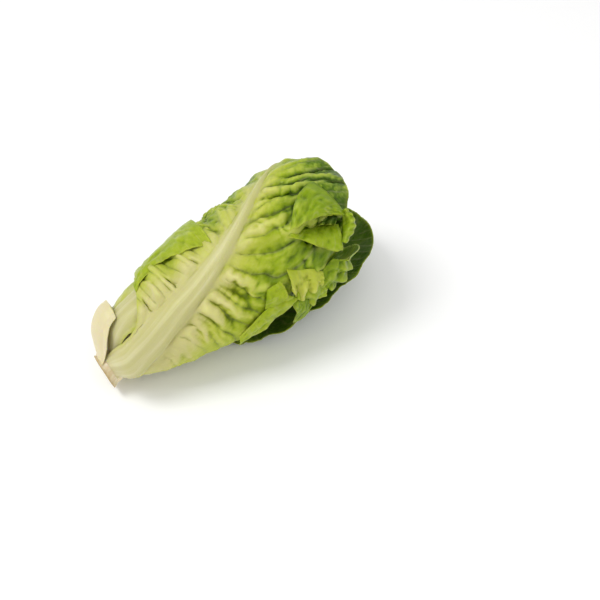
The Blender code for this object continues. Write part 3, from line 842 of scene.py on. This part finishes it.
def shell_quads(row_count, column_count):
    """Faces of two like grids joined round their rims."""
    second = row_count * column_count
    a = (np.arange(row_count - 1)[:, None] * column_count + np.arange(column_count - 1)[None, :]).ravel()
    outer = np.stack([a, a + 1, a + column_count + 1, a + column_count], axis=1)
    inner = second + outer[:, ::-1]
    rim = np.concatenate([
        np.arange(column_count),
        np.arange(2, row_count + 1) * column_count - 1,
        (row_count - 1) * column_count + np.arange(column_count - 2, -1, -1),
        np.arange(row_count - 2, 0, -1) * column_count,
    ])
    following = np.roll(rim, -1)
    sides = np.stack([rim, second + rim, second + following, following], axis=1)
    return np.concatenate([outer, inner, sides])


def blurred(height, times):
    """The heights averaged with their neighbours a number of times."""
    for _ in range(times):
        wide = np.pad(height, 1, mode="edge")
        beside = wide[:-2, 1:-1] + wide[2:, 1:-1] + wide[1:-1, :-2] + wide[1:-1, 2:]
        height = (height + beside) / 5
    return height


def shading_relief(height):
    """Where each place lies against its surroundings: 0 in a crease, 0.5 level with them, 1 on a crest. The
    leaf material paints shade into the creases and a highlight onto the crests by it.
    """
    rise = 0.9 * (height - blurred(height, 4)) + 0.4 * (height - blurred(height, 28))
    return np.clip(0.5 + 0.5 * rise, 0, 1)


def greenness(leaf, flat):
    """How green each place of a leaf is: pale by the stem and the rib, green towards its tip and margins."""
    start, end = leaf.greening
    level = (flat.share - start) / (end - start) + 0.3 * flat.blade_share - 0.12
    level += 0.3 * smooth_step(flat.from_rib / 26) - 0.2
    level += 0.10 * noise(flat.along / 24, flat.across / 18, leaf.seed + 30)
    return np.clip(level, 0, 1)


def rib_paleness(leaf, flat, veins):
    """How much each place has the rib's colour, which runs into the left blade in streaks along its veins."""
    from_rib, right = flat.from_rib, flat.side == 1
    core = 1 - flat.rib_share ** np.where(right, RIB_CORE_POWER_RIGHT, leaf.soft_side)
    course = flat.along - STREAK_LEAN * from_rib
    streaks = noise(course / STREAK_PITCH, from_rib / STREAK_LENGTH, leaf.seed + 31)
    streaks = 0.4 + 0.6 * veins + 0.5 * streaks
    spread = np.exp(-from_rib / np.where(right, RIB_HALO[1], RIB_HALO[0]))
    spread = spread * over(flat.rib_share, (0.5, 0.5))
    return np.clip(core + 0.8 * spread * streaks, 0, 1) * (1 - leaf.rib_fade * flat.share)


def add_leaf(leaf, materials):
    """A leaf as one fine closed piece in the place of its solid."""
    flat = flat_leaf(leaf)
    fine, veins = fine_waves(leaf, flat)
    height = (broad_waves(leaf, flat) + fine) * flat.room
    along, across, height = raise_ridges(leaf, flat, height)
    middle = lay_round_head(leaf, along, across, height)
    outer, inner = leaf_faces(leaf, flat, middle)
    points = np.concatenate([outer.reshape(-1, 3), inner.reshape(-1, 3)])
    base = BLEACHED_BASE_SHARE * np.exp(-flat.along / BLEACHED_BASE)
    attributes = {
        "green": greenness(leaf, flat),
        "rib": rib_paleness(leaf, flat, veins),
        "vein": veins,
        "margin": np.exp(-flat.from_margin / PALE_MARGIN),
        # Creases and crests, from which the material paints shade into creases and a highlight onto crests.
        "shading_relief": shading_relief(height),
        "bleach": np.clip(leaf.bleached + base, 0, 1) + 0 * flat.across,
        "place": np.stack([flat.along, flat.across, 0 * across], axis=-1).reshape(-1, 3) * MM,
    }
    shells = [(points, facing_out(points, shell_quads(*outer.shape[:2])), attributes)]
    shells += [lobe_shell(leaf, lobe, index) for index, lobe in enumerate(leaf.lobes)]
    piece = join_shells(leaf.name + "_piece", shells, materials[leaf.slot])
    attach(piece, "root")
    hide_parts(leaf.name)


def join_shells(name, shells, material):
    """One object from closed shells, whose inner face has the attributes that are given for the outer one."""
    starts = np.cumsum([0] + [len(points) for points, _, _ in shells])
    points = np.concatenate([points for points, _, _ in shells])
    quads = np.concatenate([quads + start for (_, quads, _), start in zip(shells, starts)])
    attributes = {}
    for key in shells[0][2]:
        sheets = [values[key] if key == "place" else values[key].ravel() for _, _, values in shells]
        attributes[key] = np.concatenate([half for sheet in sheets for half in (sheet, sheet)])
    return add_mesh(name, points, quads, attributes, material)


def add_stem(materials):
    """The stem: its dished, browned cut, its uneven butt, and its taper in the head."""
    azimuth = np.arange(STEM_SIDES) * 360 / STEM_SIDES
    turn = np.radians(azimuth)
    cut_share = np.linspace(0.02, 1, CUT_RINGS)[:-1, None]
    dish = 0.5 * (1 - smooth_step(cut_share / 0.9)) - 0.35 * np.exp(-(((cut_share - 0.86) / 0.08) ** 2))
    dish = dish + 0.25 * noise(3 * cut_share * np.cos(turn), 3 * cut_share * np.sin(turn), 70)
    cut_r = cut_share * (stem_radius(0) - 0.3) * (1 + 0 * turn)
    body_x = STEM_LENGTH * np.linspace(0.004, 1, STEM_RINGS)[:, None] ** 1.6 + 0 * turn
    around = 8 * azimuth / 360
    swell = 0.35 * noise(body_x / 6, around, 71) + 0.18 * noise(body_x / 14, 5 * around, 72)
    body_r = stem_radius(body_x) + swell * smooth_step(body_x / 3)
    tip_x = np.full((1, STEM_SIDES), STEM_LENGTH + STEM_TIP_RADIUS / 2)
    x = np.concatenate([CUT_RELIEF * dish, body_x, tip_x])
    radius = np.concatenate([cut_r, body_r, 0 * tip_x + 0.05])
    points = head_to_world(x, azimuth + 0 * x, radius)
    rings = len(points)
    points = points.reshape(-1, 3)
    points[:, 2] -= SURFACE_PRESS
    a = (np.arange(rings - 1)[:, None] * STEM_SIDES + np.arange(STEM_SIDES)[None, :])
    b = np.roll(a, -1, axis=1)
    quads = np.stack([a, b, b + STEM_SIDES, a + STEM_SIDES], axis=-1).reshape(-1, 4)
    cut = np.concatenate([np.ones_like(cut_r), np.exp(-body_x / 0.7), 0 * tip_x]).ravel()
    rim = [over(cut_share + 0 * turn, BROWNED_RIM), np.exp(-body_x / 1.6), 0 * tip_x]
    rim = np.concatenate(rim).ravel()
    place = np.stack([x, radius * np.cos(turn), radius * np.sin(turn)], axis=-1).reshape(-1, 3) * MM
    material = materials["stem_tissue"]
    piece = add_mesh("stem_piece", points, quads, {"cut": cut, "rim": rim, "place": place}, material)
    close_ends(piece.data)
    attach(piece, "root")
    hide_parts("stem")


def close_ends(mesh):
    """Closes the small holes in the middle of the cut and at the tip."""
    edited = bmesh.new()
    edited.from_mesh(mesh)
    bmesh.ops.holes_fill(edited, edges=[e for e in edited.edges if e.is_boundary])
    bmesh.ops.recalc_face_normals(edited, faces=edited.faces)
    edited.to_mesh(mesh)
    edited.free()


# Materials.
def colour(code):
    """A linear colour from a six-figure sRGB code."""
    parts = [int(code[k:k + 2], 16) / 255 for k in (0, 2, 4)]
    return tuple(c / 12.92 if c <= 0.04045 else ((c + 0.055) / 1.055) ** 2.4 for c in parts) + (1,)


class Nodes:
    """A material's node tree, with a short way to add and join its nodes."""

    def __init__(self, name):
        self.material = bpy.data.materials.new(name)
        self.material.use_nodes = True
        self.tree = self.material.node_tree
        self.shader = self.tree.nodes["Principled BSDF"]

    def add(self, kind, inputs=(), **settings):
        node = self.tree.nodes.new(kind)
        for key, value in settings.items():
            setattr(node, key, value)
        for key, value in dict(inputs).items():
            self.join(value, node.inputs[key])
        return node

    def join(self, value, socket):
        if isinstance(value, bpy.types.NodeSocket):
            self.tree.links.new(value, socket)
        else:
            socket.default_value = colour(value) if isinstance(value, str) else value

    def attribute(self, name, output="Fac"):
        return self.add("ShaderNodeAttribute", attribute_name=name).outputs[output]

    def math(self, operation, first, second=0):
        node = self.add("ShaderNodeMath", operation=operation)
        self.join(first, node.inputs[0])
        self.join(second, node.inputs[1])
        return node.outputs[0]

    def times(self, first, second):
        return self.math("MULTIPLY", first, second)

    def plus(self, first, second):
        return self.math("ADD", first, second)

    def mix(self, factor, first, second, blend_type="MIX"):
        node = self.add("ShaderNodeMix", data_type="RGBA", blend_type=blend_type)
        self.join(factor, node.inputs["Factor"])
        self.join(first, node.inputs["A"])
        self.join(second, node.inputs["B"])
        return node.outputs["Result"]

    def ramp(self, factor, stops):
        node = self.add("ShaderNodeValToRGB", {"Fac": factor})
        elements = node.color_ramp.elements
        while len(elements) < len(stops):
            elements.new(0.5)
        for element, (position, value) in zip(elements, stops):
            element.position = position
            element.color = colour(value)
        return node.outputs["Color"]

    def noise(self, vector, scale, detail=3, roughness=0.5):
        inputs = {"Vector": vector, "Scale": scale, "Detail": detail, "Roughness": roughness}
        return self.add("ShaderNodeTexNoise", inputs).outputs["Fac"]

    def stretched(self, vector, scale):
        return self.add("ShaderNodeMapping", {"Vector": vector, "Scale": scale}).outputs["Vector"]

    def put(self, values):
        for key, value in values.items():
            self.join(value, self.shader.inputs[key])

    def put_scatter(self, weight, radius, scale):
        self.put({"Subsurface Weight": weight, "Subsurface Radius": radius, "Subsurface Scale": scale})

    def put_relief(self, height, strength, distance):
        bump = self.add("ShaderNodeBump", {"Height": height, "Strength": strength, "Distance": distance})
        self.put({"Normal": bump.outputs["Normal"]})


BLACK = "000000"
WHITE = "FFFFFF"

# Leaf tissue: the scales of its patterns, then the share that each tone takes.
MOTTLE_SCALE = 90
NET_SCALE = 420
DAMP_SCALE = 160
FINE_SCALE = 900
RIB_GRAIN = (25, 700, 700)
RIB_SHEEN = (14, 240, 240)
MOTTLE_SHARE = 0.28
# Painted shade: how far creases push the greens darker and crests push them paler.
RELIEF_SHADE_GREEN = 0.5
NET_SHARE = 0.12
VEIN_SHARE = 0.4
GRAIN_SHARE = 0.4
SHEEN_SHARE = 0.38
MARGIN_SHARE = 0.55
# Painted shade in the creases and painted highlight on the crests.
CREASE_SHADE_SHARE = 0.75
CREST_HIGHLIGHT_SHARE = 0.2
DAMP_SPREAD = 0.3


def leaf_material(name, greens, rib_colour, roughness):
    """Leaf tissue: green by its place, paler in its rib, veins and margin, finely netted and a bit moist,
    with painted shade in its creases and a painted highlight on its crests.
    """
    nodes = Nodes(name)
    place = nodes.attribute("place", "Vector")
    # Creases and crests, which carry painted shade and painted highlight below.
    shading_relief_level = nodes.attribute("shading_relief")
    mottle = nodes.math("SUBTRACT", nodes.noise(place, MOTTLE_SCALE, 4, 0.6), 0.5)
    green = nodes.plus(nodes.attribute("green"), nodes.times(mottle, MOTTLE_SHARE))
    # Painted shade: the greens run darker in the creases and paler on the crests.
    depth = nodes.math("SUBTRACT", 0.5, shading_relief_level)
    blade = nodes.ramp(nodes.plus(green, nodes.times(depth, RELIEF_SHADE_GREEN)), greens)
    net = nodes.add("ShaderNodeTexVoronoi", {"Vector": place, "Scale": NET_SCALE}, feature="DISTANCE_TO_EDGE")
    net_line = nodes.ramp(net.outputs["Distance"], [(0, WHITE), (0.16, BLACK)])
    vein_level = nodes.math("MAXIMUM", nodes.attribute("vein"), nodes.times(net_line, NET_SHARE))
    veined = nodes.mix(nodes.times(vein_level, VEIN_SHARE), blade, rib_colour)
    grain = nodes.noise(nodes.stretched(place, RIB_GRAIN), 1)
    rib_tone = nodes.mix(nodes.times(grain, GRAIN_SHARE), rib_colour, greens[1][1])
    sheen = nodes.ramp(nodes.noise(nodes.stretched(place, RIB_SHEEN), 1), [(0.46, BLACK), (0.68, WHITE)])
    rib_tone = nodes.mix(nodes.times(sheen, SHEEN_SHARE), rib_tone, "E4DEC0")
    ribbed = nodes.mix(nodes.attribute("rib"), veined, rib_tone)
    edged = nodes.mix(nodes.times(nodes.attribute("margin"), MARGIN_SHARE), ribbed, greens[1][1])
    edged = nodes.mix(nodes.attribute("bleach"), edged, "D9CDA9")
    # Painted shade: the creases are darkened towards a dull olive.
    crease_shade = nodes.ramp(shading_relief_level, [(0, WHITE), (0.46, BLACK)])
    crease_shaded = nodes.mix(nodes.times(crease_shade, CREASE_SHADE_SHARE), edged, "868C28", "MULTIPLY")
    # Painted highlight: the crests are lightened towards a pale yellow-green.
    crest_highlight = nodes.ramp(shading_relief_level, [(0.56, BLACK), (1, WHITE)])
    lit = nodes.mix(nodes.times(crest_highlight, CREST_HIGHLIGHT_SHARE), crease_shaded, "E2E488")
    damp = nodes.math("MULTIPLY_ADD", nodes.noise(place, DAMP_SCALE), DAMP_SPREAD)
    damp.node.inputs[2].default_value = roughness - DAMP_SPREAD / 2
    nodes.put({
        "Base Color": lit, "Roughness": damp, "Specular IOR Level": 0.3, "Specular Tint": "E8F08C",
        "Coat Weight": 0.08, "Coat Roughness": 0.15,
    })
    pitted = nodes.times(nodes.noise(place, FINE_SCALE, 4, 0.65), 0.35)
    pitted = nodes.plus(pitted, nodes.times(net_line, -0.25))
    stripes = nodes.times(nodes.times(grain, nodes.attribute("rib")), 0.9)
    nodes.put_scatter(weight=0.3, radius=(0.7, 1, 0.18), scale=0.002)
    nodes.put_relief(nodes.plus(pitted, stripes), strength=0.5, distance=0.0004)
    return nodes.material


def stem_material():
    """Cream stem tissue, striped along its length, with an olive-tan cut whose rim has browned."""
    nodes = Nodes("stem_tissue")
    place = nodes.attribute("place", "Vector")
    stripes = nodes.noise(nodes.stretched(place, (60, 420, 420)), 1, 4)
    flesh = nodes.ramp(stripes, [(0.3, "DCC79C"), (0.55, "EADFBE"), (0.75, "F1EBD6")])
    blotch = nodes.noise(place, 260, 5, 0.65)
    cut_tone = nodes.ramp(blotch, [(0.3, "A89A5A"), (0.55, "C2B878"), (0.75, "D2CA94")])
    faced = nodes.mix(nodes.attribute("cut"), flesh, cut_tone)
    browned = nodes.times(nodes.attribute("rim"), nodes.plus(blotch, 0.1))
    nodes.put({"Base Color": nodes.mix(browned, faced, "8A6236"), "Roughness": 0.5})
    height = nodes.plus(nodes.times(stripes, 0.6), nodes.times(blotch, 0.5))
    nodes.put_scatter(weight=0.35, radius=(1, 0.8, 0.4), scale=0.003)
    nodes.put_relief(height, strength=0.6, distance=0.0005)
    return nodes.material


def make_materials():
    """The materials by their slots."""
    outer = [
        (0, "C0BA7C"), (0.3, "B0B644"), (0.55, "92A41A"), (0.76, "748E06"),
        (0.9, "4C6C00"), (1, "325600"),
    ]
    inner = [
        (0, "D2CE96"), (0.3, "C2C862"), (0.6, "A2B830"), (0.85, "7C9A14"),
        (1, "5E8408"),
    ]
    return {
        "outer_leaf": leaf_material("outer_leaf", outer, "BBB488", 0.38),
        "inner_leaf": leaf_material("inner_leaf", inner, "D4D09E", 0.4),
        "stem_tissue": stem_material(),
    }


# The stage: floor, light and camera. The camera's distances are in metres, and its frame shifts in pixels.
CAMERA_AZIMUTH = -32.0
CAMERA_ELEVATION = 50.0
CAMERA_DISTANCE = 0.65
CAMERA_LENS = 62.4
PHOTO_SCALE = 1600.0
HEAD_MIDDLE_X = 93.0
FRAME_RIGHT = 72.5
FRAME_DOWN = 17.5
FLOOR_HALF = 6.0
FLOOR_COLOUR = (0.96, 0.96, 0.955, 1.0)
SURROUND_STRENGTH = 0.75
LIT_HEIGHT = 0.04


def add_floor():
    """A wide pale floor."""
    nodes = Nodes("floor")
    nodes.put({"Base Color": FLOOR_COLOUR, "Roughness": 0.8})
    signs = ((-1, -1), (1, -1), (1, 1), (-1, 1))
    corners = [(FLOOR_HALF * x, FLOOR_HALF * y, 0.0) for x, y in signs]
    mesh = bpy.data.meshes.new("floor")
    mesh.from_pydata(corners, [], [(0, 1, 2, 3)])
    mesh.materials.append(nodes.material)
    floor = bpy.data.objects.new("floor", mesh)
    bpy.context.scene.collection.objects.link(floor)


def looking_axes(azimuth, elevation):
    """Right, up and back of a view. Azimuth 0 looks along +Y, and elevation is above the horizon."""
    a, e = math.radians(azimuth), math.radians(elevation)
    back = Vector((math.sin(a) * math.cos(e), -math.cos(a) * math.cos(e), math.sin(e)))
    right = Vector((math.cos(a), math.sin(a), 0.0))
    return right, back.cross(right), back


def add_camera():
    """The camera at the photograph's viewing angle."""
    right, up, back = looking_axes(CAMERA_AZIMUTH, CAMERA_ELEVATION)
    target = Vector(head_to_world(HEAD_MIDDLE_X, 0.0, 0.0) * MM)
    target += right * (FRAME_RIGHT / PHOTO_SCALE) - up * (FRAME_DOWN / PHOTO_SCALE)
    camera = bpy.data.objects.new("camera", bpy.data.cameras.new("camera"))
    camera.data.lens = CAMERA_LENS
    rotation = Matrix((right, up, back)).transposed()
    camera.matrix_world = Matrix.Translation(target + CAMERA_DISTANCE * back) @ rotation.to_4x4()
    bpy.context.scene.collection.objects.link(camera)
    bpy.context.scene.camera = camera


def add_softbox(name, azimuth, elevation, distance, size, power):
    """A large square lamp that faces the head."""
    right, up, back = looking_axes(azimuth, elevation)
    lamp = bpy.data.objects.new(name, bpy.data.lights.new(name, "AREA"))
    lamp.data.size = size
    lamp.data.energy = power
    rotation = Matrix((right, up, back)).transposed()
    place = Vector((0.0, 0.0, LIT_HEIGHT)) + distance * back
    lamp.matrix_world = Matrix.Translation(place) @ rotation.to_4x4()
    bpy.context.scene.collection.objects.link(lamp)


def add_light():
    """A soft key from the upper left, a weak fill from the right and an even pale surround."""
    add_softbox("key", azimuth=-112.0, elevation=60.0, distance=1.1, size=0.45, power=5.6)
    add_softbox("fill", azimuth=20.0, elevation=40.0, distance=1.3, size=1.2, power=3.0)
    world = bpy.data.worlds.new("surround")
    world.use_nodes = True
    background = world.node_tree.nodes["Background"]
    background.inputs["Color"].default_value = (1.0, 1.0, 1.0, 1.0)
    background.inputs["Strength"].default_value = SURROUND_STRENGTH
    bpy.context.scene.world = world
    bpy.context.scene.view_settings.view_transform = "Standard"


def main():
    add_camera()
    materials = make_materials()
    add_stem(materials)
    for leaf in (LEAF_UNDER, LEAF_TOP, LEAF_BACK, LEAF_LEFT, LEAF_STUB):
        add_leaf(leaf, materials)
    for age in INNER_AGES:
        add_leaf(inner_leaf(age), materials)
    add_floor()
    add_light()
    bpy.context.view_layer.update()


main()
